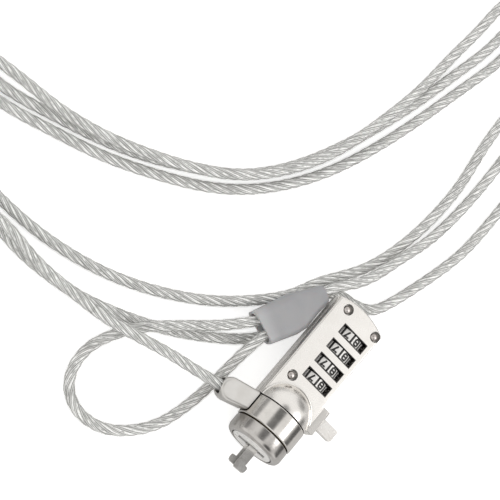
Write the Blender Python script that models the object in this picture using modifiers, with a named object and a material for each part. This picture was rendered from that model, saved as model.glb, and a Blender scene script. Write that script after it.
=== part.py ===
"""Laptop cable lock: a four-dial lock body, its swivelling cable ring and turning T-hook head, and a looped
cable.

Metres, +Z up. +X is the push-tab side, -Y the hook end, +Z the dial face. The origin is on the flat back,
under the
barrel's axis, at the middle of the body's length. At rest the tab is out and the hooks are together.
"""

import math

import bmesh
import bpy
import numpy as np
from mathutils import Matrix, Vector

MM = 0.001

# ---------------------------------------------------------------- driving dimensions, mm
FACE_Z = 13.9  # dial face
COVER_Z = 11.6  # underside of the top cover
HOUSING_Z = 11.3  # top of the housing
BODY_LEFT, BODY_RIGHT = -10.3, 9.4
BODY_FRONT = -21.0
BODY_CORNER_Y, BODY_END_Y = 20.7, 22.7  # far corners, and the middle of the curved far end
AXIS_Z = 10.7  # barrel axis, along Y at x = 0
DOME_R = 10.1
SHOULDER = (12.8, -18.8, -9.7)  # outer x, front y, rear y

DIAL_X, DIAL_Z = 1.9, 7.45
DIAL_Y = (-5.45, 0.74, 6.93, 13.13)
DIAL_R, DIAL_RIM, DIAL_HUB_R, DIAL_HUB = 6.4, 2.9, 4.4, 5.6
WINDOW = (10.46, 3.38)
RIVETS = ((-5.56, 18.96), (7.43, 19.0), (-5.85, -9.81))

STROKE = 2.8  # travel of the push tab, and of the plunger it drives
TAB_Z = (9.2, 11.4)
TAB_Y = (-16.15, -11.7)
TAB_TIP = 19.3

CORE_R, CORE_BORE = 7.9, 6.2
RING_R, RING_BORE, RING_Y = 10.38, 8.2, (-29.2, -21.3)
KNOB_R, KNOB_Y = 10.1, (-34.9, -29.5)
DISC_R = 7.45
HOOK_SLOT = (10.4, 3.3)
HEAD_TURN = math.radians(-17)
PIVOT_Y = -31.0
PLATE = (0.15, 1.35)  # hook plates lie this far from the head's middle plane
BOSS_ANGLE = math.radians(16.5)
BOSS_START_Y = -21.6  # where the boss's middle line would meet the barrel axis
BOSS_END = 22.6

CABLE_R = 2.0
GAP = 0.3

# ---------------------------------------------------------------- scene and collections
for old in list(bpy.data.objects):
    bpy.data.objects.remove(old)
part = bpy.data.collections.new("laptop_cable_lock")
cutters = bpy.data.collections.new("cutters")
bpy.context.scene.collection.children.link(part)
bpy.context.scene.collection.children.link(cutters)


def material(name, color, metallic, roughness):
    mat = bpy.data.materials.new(name)
    mat.use_nodes = True
    shader = mat.node_tree.nodes["Principled BSDF"]
    shader.inputs["Base Color"].default_value = (*color, 1)
    shader.inputs["Metallic"].default_value = metallic
    shader.inputs["Roughness"].default_value = roughness
    mat.diffuse_color = (*color, 1)
    return mat


POLISHED = ("polished_nickel", (0.80, 0.77, 0.74), 1, 0.16)
SATIN = ("satin_nickel", (0.74, 0.72, 0.70), 1, 0.34)
STEEL = ("brushed_steel", (0.60, 0.60, 0.60), 1, 0.38)
BRASS = ("brass", (0.78, 0.60, 0.30), 1, 0.30)
SPRING = ("spring_steel", (0.52, 0.52, 0.54), 1, 0.28)
ALUMINIUM = ("aluminium", (0.78, 0.78, 0.80), 1, 0.40)
PLASTIC = ("grey_plastic", (0.40, 0.40, 0.42), 0, 0.50)
SHEATH = ("sheathed_steel_rope", (0.55, 0.57, 0.55), 0.6, 0.35)


# ---------------------------------------------------------------- helpers
def finish(obj, look, smooth):
    for polygon in obj.data.polygons:
        polygon.use_smooth = smooth
    if look:
        part.objects.link(obj)
        obj.data.materials.append(material(obj.name + "_" + look[0], *look[1:]))
    else:
        cutters.objects.link(obj)
        obj.hide_render = True
        obj.display_type = "WIRE"
    return obj


def area(outline):
    return sum(a[0] * b[1] - b[0] * a[1] for a, b in zip(outline, outline[1:] + outline[:1])) / 2


def prism(name, outline, low, high, look=None, along="Z", pose=None):
    """The closed outline extruded from low to high. along Z: outline is (x, y); Y: (x, z); X: (y, z)."""
    if area(outline) < 0:
        outline = outline[::-1]
    places = {"Z": lambda a, b, c: (a, b, c), "Y": lambda a, b, c: (a, c, b), "X": lambda a, b, c: (c, a, b)}
    place = places[along]
    mesh = bmesh.new()
    bottom = [mesh.verts.new(Vector(place(a, b, low)) * MM) for a, b in outline]
    top = [mesh.verts.new(Vector(place(a, b, high)) * MM) for a, b in outline]
    mesh.faces.new(bottom[::-1])
    mesh.faces.new(top)
    for i in range(len(outline)):
        j = (i + 1) % len(outline)
        mesh.faces.new((bottom[i], bottom[j], top[j], top[i]))
    bmesh.ops.recalc_face_normals(mesh, faces=mesh.faces)
    data = bpy.data.meshes.new(name)
    mesh.to_mesh(data)
    mesh.free()
    obj = bpy.data.objects.new(name, data)
    if pose:
        obj.matrix_world = pose
    return finish(obj, look, False)


def box(name, low, high, look=None, pose=None):
    (x0, y0, z0), (x1, y1, z1) = low, high
    return prism(name, [(x0, y0), (x1, y0), (x1, y1), (x0, y1)], z0, z1, look, pose=pose)


def turned(name, profile, centre, look=None, along="Y", steps=40, pose=None):
    """The profile of (radius, place along the axis), turned round an axis through centre. It is closed unless
    it ends at 0."""
    solid = profile[0][0] == 0 and profile[-1][0] == 0
    # the screw turns round local Z, and this is world Y or X reversed
    down = -1 if along in ("Y", "X") else 1
    if area(profile) * down > 0:
        profile = profile[::-1]
    data = bpy.data.meshes.new(name)
    points = [(r * MM, 0, down * a * MM) for r, a in profile]
    edges = [(i, i + 1) for i in range(len(points) - 1)] + ([] if solid else [(len(points) - 1, 0)])
    data.from_pydata(points, edges, [])
    obj = bpy.data.objects.new(name, data)
    turn = {"Z": Matrix(), "Y": Matrix.Rotation(math.pi / 2, 4, "X"),
        "X": Matrix.Rotation(-math.pi / 2, 4, "Y")}[along]
    obj.matrix_world = (pose or Matrix()) @ Matrix.Translation(Vector(centre) * MM) @ turn
    screw = obj.modifiers.new("turn", "SCREW")
    screw.angle = 2 * math.pi
    screw.steps = screw.render_steps = steps
    screw.use_merge_vertices = True
    screw.merge_threshold = 1e-6
    screw.use_smooth_shade = True
    return finish(obj, look, True)


def combine(obj, other, operation="DIFFERENCE"):
    step = obj.modifiers.new(operation.lower(), "BOOLEAN")
    step.operation = operation
    step.solver = "EXACT"
    step.object = other
    return obj


def arc(cx, cy, rx, ry, start, end, count):
    """Points on an ellipse from one angle to another, in degrees."""
    turns = [math.radians(start + (end - start) * i / count) for i in range(count + 1)]
    return [(cx + rx * math.cos(t), cy + ry * math.sin(t)) for t in turns]


def wire(name, points, radius, look, resolution=2):
    """A round tube through points in mm, as one mesh with capped ends."""
    curve = bpy.data.curves.new(name, "CURVE")
    curve.dimensions = "3D"
    curve.bevel_depth = radius * MM
    curve.bevel_resolution = resolution
    curve.use_fill_caps = True
    spline = curve.splines.new("POLY")
    spline.points.add(len(points) - 1)
    for place, point in zip(spline.points, points):
        place.co = (*(Vector(point) * MM), 1)
    source = bpy.data.objects.new(name + "_route", curve)
    cutters.objects.link(source)
    graph = bpy.context.evaluated_depsgraph_get()
    data = bpy.data.meshes.new_from_object(source.evaluated_get(graph))
    data.name = name
    bpy.data.objects.remove(source)
    mesh = bmesh.new()
    mesh.from_mesh(data)
    bmesh.ops.remove_doubles(mesh, verts=mesh.verts, dist=1e-6)
    bmesh.ops.recalc_face_normals(mesh, faces=mesh.faces)
    mesh.to_mesh(data)
    mesh.free()
    data.materials.clear()
    return finish(bpy.data.objects.new(name, data), look, True)


def coil(name, start, end, radius, gauge, turns, look, per_turn=10):
    """A compression spring on the line from start to end, with a flat turn at each end."""
    start, end = Vector(start), Vector(end)
    axis = (end - start).normalized()
    side = axis.orthogonal().normalized()
    other = axis.cross(side)
    length = (end - start).length - 2 * gauge
    points = []
    for i in range(turns * per_turn + 1):
        t = i / (turns * per_turn)
        rise = min(max((t * turns - 0.8) / (turns - 1.6), 0), 1)
        # The end turns climb a little, so that the wire doesn't meet itself.
        rise = 0.16 * t + 0.84 * rise
        angle = 2 * math.pi * turns * t
        centre = start + axis * (gauge + length * rise)
        points.append(centre + (side * math.cos(angle) + other * math.sin(angle)) * (radius - gauge))
    return wire(name, points, gauge, look, 1)


# ---------------------------------------------------------------- body: housing and top cover
def body_plan():
    """The body's outline in plan, with the curved far end."""
    middle = -0.9
    half = (BODY_RIGHT - BODY_LEFT) / 2
    rise = BODY_END_Y - BODY_CORNER_Y
    radius = (half * half + rise * rise) / (2 * rise)
    swing = math.degrees(math.asin(half / radius))
    far = arc((BODY_LEFT + BODY_RIGHT) / 2, BODY_END_Y - radius, radius, radius, 90 - swing, 90 + swing, 10)
    return [(BODY_LEFT, BODY_FRONT - 2), (BODY_RIGHT, BODY_FRONT - 2)] + far


TUB = (
    arc(-2.8, 9.5, BODY_LEFT + 2.8, 9.5, 0, -90, 9)
    + arc(4.2, 6.5, BODY_RIGHT - 4.2, 6.5, -90, 0, 7)
    + [(BODY_RIGHT, 16), (BODY_LEFT, 16)]
)
SIDE = [(BODY_FRONT - 3, 0)] + arc(15.6, 6.5, 7.3, 6.5, -90, 0, 7) + [(22.9, 16), (BODY_FRONT - 3, 16)]

shoulder_section = (
    [(5, 5.5), (11.2, 5.5)]
    + arc(11.2, 7.1, 1.6, 1.6, -90, 0, 4)
    + arc(10.6, 11.5, 2.2, 2.2, 0, 90, 6)
    + [(5, 13.7)]
)
shoulder_low = prism("shoulder_low_form", shoulder_section, SHOULDER[1], SHOULDER[2], along="Y")

housing = prism("housing", TUB, BODY_FRONT - 1, 26, SATIN, along="Y")
combine(housing, prism("housing_plan_form", body_plan(), -2, 20), "INTERSECT")
combine(housing, prism("housing_side_form", SIDE, -15, 15, along="X"), "INTERSECT")
ball_profile = arc(0, 0, DOME_R, DOME_R, -90, 90, 14)
ball_profile[0], ball_profile[-1] = (0, -DOME_R), (0, DOME_R)
ball = turned("dome_ball_form", ball_profile, (0, BODY_FRONT + 0.02, AXIS_Z), along="Z", steps=32)
combine(housing, ball, "UNION")
combine(housing, shoulder_low, "UNION")
combine(housing, box("housing_keep_form", (-20, BODY_FRONT, -1), (20, 30, HOUSING_Z)), "INTERSECT")
combine(housing, box("mechanism_bay", (-3.9, -19.7, 5.8), (8.3, -9.6, 14)))
combine(housing, box("tab_bay", (8, -17.6, 8.9), (11.6, -10.9, 14)))
combine(housing, box("tab_port", (11, TAB_Y[0] - 0.25, TAB_Z[0] - 0.3), (14, TAB_Y[1] + 0.25, 12)))


def bore(name, radius, low, high, x=DIAL_X, z=DIAL_Z, steps=32):
    return turned(name, [(0, low), (radius, low), (radius, high), (0, high)], (x, 0, z), steps=steps)


trough = [(DIAL_X - 6.7, 14)] + arc(DIAL_X, DIAL_Z, 6.7, 6.7, 180, 360, 16) + [(DIAL_X + 6.7, 14)]
combine(housing, prism("dial_trough", trough, -8.6, 16.4, along="Y"))
combine(housing, bore("spindle_passage", 2.9, -11, -8, steps=24))
combine(housing, bore("bush_seat", 3.95, 16, 21.2, steps=24))
combine(housing, box("detent_bay", (-8.3, -7.6, 8.7), (-3, 15.8, 14)))
core_seat = bore("core_seat", 5.0, -22, -19.4, 0, AXIS_Z)
combine(housing, core_seat)
for n, (x, y) in enumerate(RIVETS, 1):
    hole = turned(f"rivet_hole_{n}", [(0, 3.4), (1.25, 3.4), (1.25, 16), (0, 16)], (x, y, 0), along="Z",
        steps=24)
    combine(housing, hole)


def cover_form():
    """The cover's plate: the body's plan with the shoulder, its upper edge rounded."""
    x, front, rear = SHOULDER
    plan = body_plan()
    plan[2:2] = [(BODY_RIGHT, front), (x, front), (x, rear), (BODY_RIGHT, rear)]
    obj = prism("top_cover", plan, COVER_Z - 1, FACE_Z, POLISHED)
    mesh = bmesh.new()
    mesh.from_mesh(obj.data)
    top = [e for e in mesh.edges if all(abs(v.co.z - FACE_Z * MM) < 1e-7 for v in e.verts)]
    bmesh.ops.bevel(mesh, geom=top, offset=0.6 * MM, segments=3, profile=0.5, affect="EDGES")
    bmesh.ops.recalc_face_normals(mesh, faces=mesh.faces)
    mesh.to_mesh(obj.data)
    mesh.free()
    return obj


FILLET = 0.85
fillet_r = math.sqrt((DOME_R + FILLET) ** 2 - (FACE_Z - AXIS_Z + FILLET) ** 2)
meet = math.degrees(math.atan2(FACE_Z - AXIS_Z + FILLET, fillet_r))
dome_profile = (
    [(0, AXIS_Z + DOME_R)]
    + arc(0, AXIS_Z, DOME_R, DOME_R, 82, meet, 7)
    + arc(fillet_r, FACE_Z + FILLET, FILLET, FILLET, 180 + meet, 270, 4)[1:]
    + [(fillet_r, COVER_Z - 0.5), (0, COVER_Z - 0.5)]
)
cover = cover_form()
combine(cover, turned("dome_form", dome_profile, (0, BODY_FRONT + 0.02, 0), along="Z", steps=36), "UNION")
rounding = arc(10.4, 11.45, 2.5, 2.5, -4, 94, 7) + [(10.2, 15), (14, 15), (14, 11)]
combine(cover, prism("shoulder_rounding", rounding, SHOULDER[1] - 1, SHOULDER[2] + 1, along="Y"))
combine(cover, box("cover_keep_form", (-20, BODY_FRONT, COVER_Z), (20, 30, 30)), "INTERSECT")
combine(cover, box("cover_bay", (-3.9, -19.7, 11), (8.3, -9.6, 12.7)))
combine(cover, box("cover_tab_bay", (8, -17.6, 11), (11.6, -10.9, 11.9)))
combine(cover, bore("hub_relief", 4.75, -8.6, 16.4))
combine(cover, core_seat)
# The shoulder falls away towards the barrel.
fall = [(-9.2, 13.83), (-9.2, 15), (-21, 15), (-21, 12.2)]
combine(cover, prism("shoulder_fall", fall, BODY_RIGHT + 0.1, 20, along="X"))
for n, y in enumerate(DIAL_Y, 1):
    half_x, half_y = WINDOW[0] / 2, WINDOW[1] / 2
    combine(cover, box(f"window_{n}", (DIAL_X - half_x, y - half_y, 10), (DIAL_X + half_x, y + half_y, 16)))
for n, (x, y) in enumerate(RIVETS, 1):
    steps = [(0, 10), (1.25, 10), (1.25, 12.5), (1.85, 12.5), (1.85, 16), (0, 16)]
    combine(cover, turned(f"rivet_seat_{n}", steps, (x, y, 0), along="Z", steps=20))

for n, (x, y) in enumerate(RIVETS, 1):
    head = [(0, 3.7), (0.95, 3.7), (0.95, 12.7), (1.35, 12.8)]
    head += arc(0, 12.8, 1.35, 0.75, 15, 80, 4) + [(0, 13.55)]
    turned(f"rivet_{n}", head, (x, y, 0), STEEL, along="Z", steps=14)


# ---------------------------------------------------------------- dials, code sleeves and spindle
def dial(n, y):
    """A ten-faced wheel: flat faces with a notch between each two, on a round hub."""
    rim = []
    for k in range(10):
        # The notches stand at 18 degrees from the top, so that a face's edge is in the middle of the window.
        middle = math.radians(90 + 18 + 36 * k)
        for step, radius in ((-14.5, DIAL_R), (0, DIAL_R), (14.5, DIAL_R)):
            a = middle + math.radians(step)
            rim.append((radius * math.cos(a), radius * math.sin(a)))
        for step in (16, 20):
            a = middle + math.radians(step)
            rim.append(((DIAL_R - 0.7) * math.cos(a), (DIAL_R - 0.7) * math.sin(a)))
    place = Matrix.Translation(Vector((DIAL_X, y, DIAL_Z)) * MM)
    obj = prism(f"dial_wheel_{n}", rim, -DIAL_RIM / 2, DIAL_RIM / 2, SATIN, along="Y", pose=place)
    half = DIAL_HUB / 2
    full = [(0, -half), (DIAL_HUB_R, -half), (DIAL_HUB_R, half), (0, half)]
    combine(obj, turned(f"dial_hub_{n}_form", full, (0, 0, 0), steps=24, pose=place), "UNION")
    through = [(0, -4), (3.5, -4), (3.5, 4), (0, 4)]
    combine(obj, turned(f"dial_bore_{n}", through, (0, 0, 0), steps=24, pose=place))


def code_sleeve(n, y):
    """The dial's code sleeve: a keyed web at the front, and a free chamber behind it."""
    place = Matrix.Translation(Vector((DIAL_X, y, DIAL_Z)) * MM)
    section = [(1.8, -2.8), (3.2, -2.8), (3.2, 2.8), (2.75, 2.8), (2.75, -1.8), (1.8, -1.8)]
    obj = turned(f"code_sleeve_{n}", section, (0, 0, 0), BRASS, steps=20, pose=place)
    combine(obj, box(f"keyway_{n}", (-0.7, -3.5, -2.75), (0.7, -1.0, 0), pose=place))


for n, y in enumerate(DIAL_Y, 1):
    dial(n, y)
    code_sleeve(n, y)

spindle_at = (DIAL_X, 0, DIAL_Z)
shaft = [(0, -9.3), (1.5, -9.3), (1.5, 20.6), (1.2, 20.9), (0, 20.9)]
spindle = turned("spindle", shaft, spindle_at, STEEL, steps=24)
for n, y in enumerate(DIAL_Y, 1):
    low, high = (DIAL_X - 0.4, y - 1.6, DIAL_Z - 2.45), (DIAL_X + 0.4, y - 0.4, DIAL_Z - 0.5)
    combine(spindle, box(f"fin_{n}_form", low, high), "UNION")

bush = [(1.8, 17.9), (3.65, 17.9), (3.65, 20.2), (1.8, 20.2)]
turned("end_bush", bush, spindle_at, BRASS, steps=24)
coil("sleeve_spring", (DIAL_X, 16.15, DIAL_Z), (DIAL_X, 17.7, DIAL_Z), 3.1, 0.2, 2, SPRING, 12)

comb = [(-8.0, -7.3), (-6.9, -7.3)]
for y in DIAL_Y:
    comb += [(-6.9, y + 1.65), (-2.4, y + 1.8), (-2.4, y + 2.45), (-6.9, y + 2.6)]
comb += [(-8.0, DIAL_Y[3] + 2.6)]
prism("detent_plate", comb, 9.0, 9.5, SPRING)

# ---------------------------------------------------------------- push tab, yoke and tab spring
PIN = (6.2, -12.85)
tab_outline = [(4.6, -17.3), (11.3, -17.3), (11.3, TAB_Y[0]), (TAB_TIP - 0.5, TAB_Y[0]),
    (TAB_TIP, TAB_Y[0] + 0.5)]
tab_outline += [(TAB_TIP, TAB_Y[1] - 0.5), (TAB_TIP - 0.5, TAB_Y[1]), (11.3, TAB_Y[1]), (11.3, -11.2),
    (4.6, -11.2)]
tab = prism("push_tab", tab_outline, *TAB_Z, POLISHED)
slot_half = 1.2
slot = [(PIN[0] + slot_half * math.cos(math.radians(a)), PIN[1] + slot_half * math.sin(math.radians(a)))
        for a in range(45, 226, 22)]
slot += [(PIN[0] + STROKE + slot_half * math.cos(math.radians(a)),
    PIN[1] - STROKE + slot_half * math.sin(math.radians(a)))
         for a in range(225, 406, 22)]
combine(tab, prism("cam_slot", slot, 8, 13))

yoke_plate = [(-2.2, -16.6), (2.2, -16.6), (7.9, -14.4), (7.9, -11.2), (4.4, -9.6), (-0.6, -9.6),
    (-2.2, -11.2)]
yoke = prism("drive_yoke", yoke_plate, 6.4, 8.6, STEEL)
fork = [(-2.2, 6.8), (2.2, 6.8), (2.2, 12.4), (1.1, 12.4), (1.1, AXIS_Z)]
fork += arc(0, AXIS_Z, 1.1, 1.1, 0, -180, 8)[1:-1] + [(-1.1, AXIS_Z), (-1.1, 12.4), (-2.2, 12.4)]
combine(yoke, prism("yoke_fork_form", fork, -16.6, -15.4, along="Y"), "UNION")
combine(yoke, turned("pin_hole", [(0, 5), (1.2, 5), (1.2, 12), (0, 12)], (*PIN, 0), along="Z", steps=24))
pin = [(0, 6.5), (0.9, 6.5), (0.9, 11.0), (0.7, 11.2), (0, 11.2)]
turned("yoke_pin", pin, (*PIN, 0), STEEL, along="Z", steps=20)
coil("tab_spring", (-3.6, -12.6, 10.3), (4.3, -12.6, 10.3), 1.1, 0.22, 5, SPRING, 8)

# ---------------------------------------------------------------- barrel: fixed core, ring, boss
core = [(CORE_R, -30.7), (CORE_R, -21.3), (4.7, -21.3), (4.7, -20.0), (1.8, -20.0), (1.8, -22.6),
    (CORE_BORE, -22.6)]
core += [(CORE_BORE, -30.7)]
turned("barrel_core", core, (0, 0, AXIS_Z), STEEL, steps=32)
ring = [(9.7, RING_Y[0]), (RING_R - 0.3, RING_Y[0]), (RING_R, RING_Y[0] + 0.3), (RING_R, RING_Y[1] - 0.3)]
ring += [(RING_R - 0.3, RING_Y[1]), (RING_BORE, RING_Y[1]), (RING_BORE, -28.3), (9.7, -28.3)]
turned("swivel_ring", ring, (0, 0, AXIS_Z), POLISHED, steps=40)
turned("ring_washer", [(8.2, -29.2), (9.4, -29.2), (9.4, -28.6), (8.2, -28.6)], (0, 0, AXIS_Z), BRASS,
    steps=32)

# The boss is a tongue that leaves the ring sideways and a little forward. Its own frame: x outward, y
# across, z up.
boss_pose = Matrix.Translation(Vector((0, BOSS_START_Y, AXIS_Z)) * MM)
boss_pose = boss_pose @ Matrix.Rotation(math.pi + BOSS_ANGLE, 4, "Z")
tongue = [(8.5, -3.5), (BOSS_END - 3.8, -3.85)] + arc(BOSS_END - 3.8, 0, 3.8, 3.85, -75, 75, 8)
tongue += [(BOSS_END - 3.8, 3.85), (8.5, 3.5)]
boss = prism("cable_boss", tongue, -3.9, 3.3, POLISHED, pose=boss_pose)
mesh = bmesh.new()
mesh.from_mesh(boss.data)
rim_edges = [e for e in mesh.edges if abs(e.verts[0].co.z - e.verts[1].co.z) < 1e-7]
rim_edges = [e for e in rim_edges if min(v.co.x for v in e.verts) > 8.4 * MM and e.calc_length() < 30 * MM]
rim_edges = [e for e in rim_edges if max(v.co.x for v in e.verts) > 9 * MM]
bmesh.ops.bevel(mesh, geom=rim_edges, offset=1.0 * MM, segments=3, profile=0.5, affect="EDGES")
bmesh.ops.recalc_face_normals(mesh, faces=mesh.faces)
mesh.to_mesh(boss.data)
mesh.free()
combine(boss, bore("boss_saddle", RING_R + GAP, -40, -10, 0, AXIS_Z, steps=48))
combine(boss, box("boss_rear_trim", (-30, BODY_FRONT - GAP, 0), (0, -15, 20)))
channel = [(0, 5), (3.0, 5), (3.0, 15.9), (2.35, 16.6), (2.4, 19.5), (3.1, 23.4), (3.1, 26), (0, 26)]
combine(boss, turned("boss_channel", channel, (0, 0, 0), along="X", steps=24, pose=boss_pose))
crimp = [(0, 12.0), (2.3, 12.0), (2.7, 12.4), (2.7, 15.0), (2.3, 15.4), (0, 15.4)]
turned("cable_crimp", crimp, (0, 0, 0), ALUMINIUM, along="X", steps=24, pose=boss_pose)

# ---------------------------------------------------------------- head: knob, disc, pivot, hooks, cam
head = bpy.data.objects.new("head_frame", None)
part.objects.link(head)
head_pose = Matrix.Translation(Vector((0, 0, AXIS_Z)) * MM) @ Matrix.Rotation(HEAD_TURN, 4, "Y")
head.matrix_world = head_pose

knob = [(7.75, KNOB_Y[0]), (8.96, KNOB_Y[0]), (9.7, -34.4), (KNOB_R, -33.3), (KNOB_R, KNOB_Y[1] - 0.3)]
knob += [(KNOB_R - 0.3, KNOB_Y[1]), (8.2, KNOB_Y[1]), (8.2, -31.0), (6.4, -31.0), (6.4, -33.6),
    (7.75, -33.6)]
turned("knob", knob, (0, 0, AXIS_Z), POLISHED, steps=40)
disc_profile = [(0, -35.0), (DISC_R - 0.2, -35.0), (DISC_R, -34.8), (DISC_R, -33.9), (0, -33.9)]
disc = turned("front_disc", disc_profile, (0, 0, 0), SATIN, steps=32, pose=head_pose)
half_x, half_z = HOOK_SLOT[0] / 2, HOOK_SLOT[1] / 2
combine(disc, box("disc_slot", (-half_x, -37, -half_z), (half_x, -32, half_z), pose=head_pose))
pivot_pin = [(0, -6.1), (1.0, -6.1), (1.0, 6.1), (0, 6.1)]
turned("hook_pivot", pivot_pin, (0, PIVOT_Y, 0), STEEL, along="Z", steps=20, pose=head_pose)


def hook(name, side, low, high, reach, shank, nub):
    """A scissor plate: a hooked tip on its own side, the pivot eye, and a rear arm that crosses to the
    other side."""
    outline = [(-1.1, -29.2), (-1.1, -26.0), (-2.4, -26.0), (-2.4, -28.7), (-1.75, -30.2)]
    outline += arc(0, PIVOT_Y, 1.75, 1.75, 180, 200, 2)[1:] + [(-0.75, -33.2), (-0.75, reach + 0.5)]
    outline += [(-0.45, reach), (nub - 0.9, reach), (nub - 0.25, reach + 0.35), (nub, reach + 1.0)]
    outline += [(nub, reach + 2.2), (nub - 0.3, reach + 2.5), (shank, reach + 2.6), (shank, -32.4)]
    outline += arc(0, PIVOT_Y, 1.75, 1.75, -20, 60, 5)
    outline = [(side * x, y) for x, y in outline]
    obj = prism(name, outline, low, high, POLISHED, pose=head_pose)
    eye = [(0, -3), (1.3, -3), (1.3, 3), (0, 3)]
    combine(obj, turned(name + "_eye", eye, (0, PIVOT_Y, 0), along="Z", steps=20, pose=head_pose))


hook("hook_left", -1, -PLATE[1], -PLATE[0], -42.8, 1.75, 3.25)
hook("hook_right", 1, PLATE[0], PLATE[1], -43.6, 2.45, 3.5)

rod = [(0, -24.0), (1.4, -24.0), (1.4, -16.9), (0.8, -16.9), (0.8, -15.1), (1.4, -15.1), (1.4, -14.3),
    (0, -14.3)]
cam = turned("cam_slider", rod, (0, 0, 0), STEEL, steps=24, pose=head_pose)
wedge = [(-0.8, -26.2), (0.8, -26.2), (1.3, -23.3), (1.3, -22.95), (-1.3, -22.95), (-1.3, -23.3)]
combine(cam, prism("cam_wedge_form", wedge, -1.3, 1.3, pose=head_pose), "UNION")

# ---------------------------------------------------------------- loop sleeve and crimp
# The sleeve's own frame: x along it from its open end, y to its outer side, z up. It rests across two runs
# of cable.
SLEEVE_Z = 7.85
sleeve_pose = Matrix.Translation(Vector((-22.3, -4.85, SLEEVE_Z)) * MM)
sleeve_pose = sleeve_pose @ Matrix.Rotation(math.radians(66), 4, "Z")
LEG = 2.6  # half the spacing of the two legs
sleeve_plan = [(0.85, -5.97), (10.5, -6.6), (14.5, -6.0), (20.2, -3.2), (24.6, -1.6), (24.8, 4.5),
    (19.0, 5.5)]
sleeve_plan += [(14.0, 6.4), (-0.85, 5.97)]
sleeve = prism("loop_sleeve", sleeve_plan, -3.5, 3.5, PLASTIC, pose=sleeve_pose)
mesh = bmesh.new()
mesh.from_mesh(sleeve.data)
long_edges = [e for e in mesh.edges if abs(e.verts[0].co.z - e.verts[1].co.z) < 1e-7]
long_edges = [e for e in long_edges
    if (max(abs(v.co.y) for v in e.verts) > 0.1 * MM and e.calc_length() < 11.5 * MM)
    or e.calc_length() > 12.2 * MM]
ends = [e for e in long_edges
    if max(v.co.x for v in e.verts) < 1 * MM or min(v.co.x for v in e.verts) > 24 * MM]
long_edges = [e for e in long_edges if e not in ends]
bmesh.ops.bevel(mesh, geom=long_edges, offset=2.2 * MM, segments=4, profile=0.5, affect="EDGES")
bmesh.ops.recalc_face_normals(mesh, faces=mesh.faces)
mesh.to_mesh(sleeve.data)
mesh.free()


def oval(half_width, radius, count=8):
    right = arc(half_width, 0, radius, radius, -90, 90, count)
    return right + arc(-half_width, 0, radius, radius, 90, 270, count)


combine(sleeve, prism("sleeve_cavity", oval(LEG, 3.05), 3.2, 15.6, along="X", pose=sleeve_pose))
combine(sleeve, prism("sleeve_mouth", oval(LEG + 0.1, 2.6), -3, 4, along="X", pose=sleeve_pose))
crimp_form = prism("loop_crimp", oval(LEG, 2.75), 4, 13, ALUMINIUM, along="X", pose=sleeve_pose)
for n, y in enumerate((LEG, -LEG), 1):
    leg_bore = [(0, 0), (2.4, 0), (2.4, 18), (0, 18)]
    combine(crimp_form, turned(f"crimp_bore_{n}", leg_bore, (0, y, 0), along="X", steps=20,
        pose=sleeve_pose))


# ---------------------------------------------------------------- cable
def smooth(points, spacing):
    """Points about a spacing apart on a natural cubic curve through the given ones."""
    points = np.array(points, float)
    t = np.concatenate([[0], np.cumsum(np.linalg.norm(np.diff(points, axis=0), axis=1))])
    n = len(points)
    h = np.diff(t)
    matrix, right = np.eye(n), np.zeros((n, 3))
    for i in range(1, n - 1):
        matrix[i, i - 1 : i + 2] = h[i - 1], 2 * (h[i - 1] + h[i]), h[i]
        right[i] = 6 * ((points[i + 1] - points[i]) / h[i] - (points[i] - points[i - 1]) / h[i - 1])
    bend = np.linalg.solve(matrix, right)
    s = np.linspace(0, t[-1], max(int(round(t[-1] / spacing)), 2) + 1)
    i = np.clip(np.searchsorted(t, s, side="right") - 1, 0, n - 2)
    a, b, w = (t[i + 1] - s)[:, None], (s - t[i])[:, None], h[i][:, None]
    low = bend[i] * a**3 / (6 * w) + (points[i] / w - bend[i] * w / 6) * a
    return low + bend[i + 1] * b**3 / (6 * w) + (points[i + 1] / w - bend[i + 1] * w / 6) * b


def in_boss(s):
    place = boss_pose @ Vector((s * MM, 0, 0))
    return tuple(place / MM)


def in_sleeve(along, across):
    place = sleeve_pose @ Vector((along * MM, across * MM, 0))
    return tuple(place / MM)


# The first stretch is free to lift with the ring. The numbers are the places where it changes direction or
# height.
LEAD = [in_boss(15.7), in_boss(19), in_boss(22.2), (-25.4, -28.9, 10.5), (-30.5, -30.0, 10.0),
    (-37.5, -31.5, 9.7)]
LEAD += [(-47.0, -34.0, 9.6), (-55.6, -36.4, 9.4), (-64.5, -38.1, 8.4)]
FIRST_OUT = [(-73.8, -38.9, 7.0), (-83.2, -39.7, 6.5), (-91.9, -39.6, 6.45), (-100.7, -38.7, 6.4),
    (-110, -39.0, 6.4)]
FIRST_OUT += [(-122, -40.6, 5.4), (-133, -41.7, 2.8), (-140, -41.8, 2.1)]
TURN_1 = [(-149.6, -39.2, 2), (-156.6, -32.2, 2), (-159.2, -22.6, 2), (-156.6, -13.0, 2), (-149.6, -6.0, 2)]
UPPER_1 = [(-140, -3.4, 2.9), (-129, -2.2, 4.8), (-119.4, -1.4, 6.1), (-102.0, 2.9, 6.4), (-86.1, 9.8, 6.4)]
UPPER_1 += [(-71.2, 18.3, 6.4), (-61.5, 25.6, 6.4), (-51.4, 37.5, 6.4), (-42.6, 54.2, 6.4),
    (-36.9, 75.5, 6.3)]
UPPER_1 += [(-34.8, 87, 6.0), (-33.4, 96.2, 4.8), (-32.4, 107, 3.0), (-31.6, 118.7, 2), (-30.9, 129.8, 2)]
TURN_2 = [(-30.6, 141.6, 2), (-27.5, 153.4, 2), (-18.9, 162.0, 2), (-7.1, 165.1, 2), (4.7, 162.0, 2),
    (13.3, 153.4, 2)]
LOW_OUT = [(16.4, 141.6, 2), (16.9, 126, 2), (17.2, 108, 2), (17.4, 94, 2), (17.4, 80.6, 2), (16.6, 66.7, 2)]
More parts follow.
